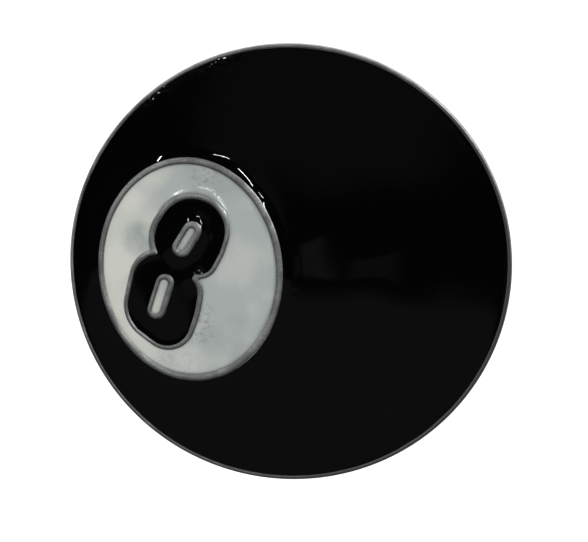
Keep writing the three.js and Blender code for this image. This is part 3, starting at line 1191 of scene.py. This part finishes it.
def pale_floor():
    """Floor below the buckle, which its metal doesn't mirror."""
    turns = ((-1, -1), (1, -1), (1, 1), (-1, 1))
    corners = [(x * FLOOR_HALF, y * FLOOR_HALF, FLOOR_Z) for x, y in turns]
    floor = stage_sheet("floor", corners, floor_paint())
    floor.visible_glossy = False


def mirrored_at(fill, across, up):
    """The enamel at a face point, and the direction that it mirrors to the camera."""
    start = Vector((across, -2 * PLATE_FRONT, up)) * MM
    _, point, _, hit = fill.ray_cast(start, Vector((0, 1, 0)))
    normal = Vector()
    for loop in fill.data.polygons[hit].loop_indices:
        corner = fill.data.vertices[fill.data.loops[loop].vertex_index].co
        normal += fill.data.corner_normals[loop].vector / ((corner - point).length + 1e-6)
    normal.normalize()
    view = (camera.location - point).normalized()
    return point, 2 * normal.dot(view) * normal - view


def shaded_glow():
    """Glow of a lamp with a shade round it, so that it reaches only one part of the face."""
    made = bpy.data.materials.new("lamp_glow")
    made.use_nodes = True
    tree = made.node_tree
    tree.nodes.clear()
    (across, up), reach = LAMPS_LIGHT
    lit = tuple(Vector((across, -PLATE_FRONT, up)) * MM)
    geometry = node(tree, "NewGeometry").outputs
    to_lit = vector_calc(tree, "SUBTRACT", lit, geometry["Position"]).outputs[0]
    beside = vector_calc(tree, "CROSS_PRODUCT", to_lit, geometry["Incoming"]).outputs[0]
    passes_by = vector_calc(tree, "LENGTH", beside).outputs["Value"]
    strength = ramp(tree, passes_by, reach * MM, 0.9 * reach * MM, 0, LAMP_RADIANCE)
    glow = node(tree, "Emission", {"Strength": strength})
    clear = node(tree, "BsdfTransparent")
    lamp = node(tree, "AddShader", {0: glow.outputs[0], 1: clear.outputs[0]})
    node(tree, "OutputMaterial", {0: lamp.outputs[0]})
    return made


def glint_lamp(name, fill, glow, start, end, thickness):
    """A straight lamp whose reflection in a fill runs from one face point to another."""
    first, first_way = mirrored_at(fill, *start)
    last, last_way = mirrored_at(fill, *end)
    first_end = first + first_way * LAMP_DISTANCE
    last_end = last + last_way * LAMP_DISTANCE
    along = last_end - first_end
    away = (first_end + last_end) / 2 - (first + last) / 2
    aside = away.cross(along).normalized() * LAMP_DISTANCE * math.radians(thickness) / 2
    corners = [first_end - aside, last_end - aside, last_end + aside, first_end + aside]
    lamp = stage_sheet(name, corners, glow)
    lamp.visible_camera = False


def aimed_camera():
    """Camera at the photograph's angle, with the lens that gives its perspective."""
    azimuth, elevation = math.radians(CAMERA_AZIMUTH), math.radians(CAMERA_ELEVATION)
    back = Vector((
        math.sin(azimuth) * math.cos(elevation),
        -math.cos(azimuth) * math.cos(elevation),
        math.sin(elevation),
    ))
    made = bpy.data.objects.new("camera", bpy.data.cameras.new("camera"))
    made.data.lens = CAMERA_LENS
    made.data.shift_x, made.data.shift_y = CAMERA_SHIFT
    made.data.clip_start = 0.01
    made.location = Vector((0, plate_low.y, 0)) + back * CAMERA_DISTANCE
    made.rotation_mode = "QUATERNION"
    made.rotation_quaternion = (-back).to_track_quat("-Z", "Y")
    bpy.context.scene.collection.objects.link(made)
    bpy.context.scene.camera = made
    return made


# --- The scene ---

plate_low, plate_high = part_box("buckle_plate")
PLATE_FRONT = -plate_low.y / MM
PLATE_RADIUS = plate_high.x / MM
CELL_FLOOR = -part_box("field_enamel")[1].y / MM
BACK_RECESS = -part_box("belt_stud")[0].y / MM
hinge = frame["joints"][0]["pos_m"]
HINGE_X, HINGE_Y = hinge[0] / MM, hinge[1] / MM
face = Face()
BACK_FLAT_RADIUS = lengths(face_outlines("buckle_plate", max)[0]).mean()

black, white = black_enamel(), white_enamel()
cast, fitting, solder = cast_metal(), fitting_metal(), solder_metal()

plate_casting(cast)
field = enamel_fill("field_fill", "field_enamel", face.rim, [face.ring_out], 1.1, black, [1])
enamel_fill("spot_fill", "spot_enamel", face.ring_in, [face.eight_out], 0.6, white, [0.9])
islands = [face.low_out, face.high_out]
enamel_fill("eight_fill", "numeral_enamel", face.eight_in, islands, 0.4, black, [0.1, 0.9])
enamel_fill("lower_slot_fill", "lower_counter_enamel", face.low_in, [], 0.3, white)
enamel_fill("upper_slot_fill", "upper_counter_enamel", face.high_in, [], 0.3, white)
solder_fillet("stud_fillet", "stud_solder", belt_stud(fitting), solder)
wire_bail(wire_metal())
for end in ("upper", "lower"):
    lug = f"{end}_hinge_lug"
    hinge_lug(lug, fitting)
    solder_fillet(f"{end}_lug_fillet", f"{end}_lug_solder", lug_foot(lug), solder)

camera = aimed_camera()
studio_world()
pale_floor()
bpy.context.view_layer.update()
glow = shaded_glow()
for number, lamp in enumerate(LAMPS):
    glint_lamp(f"lamp_{number}", field, glow, *lamp)
bpy.context.scene.view_settings.view_transform = "Standard"
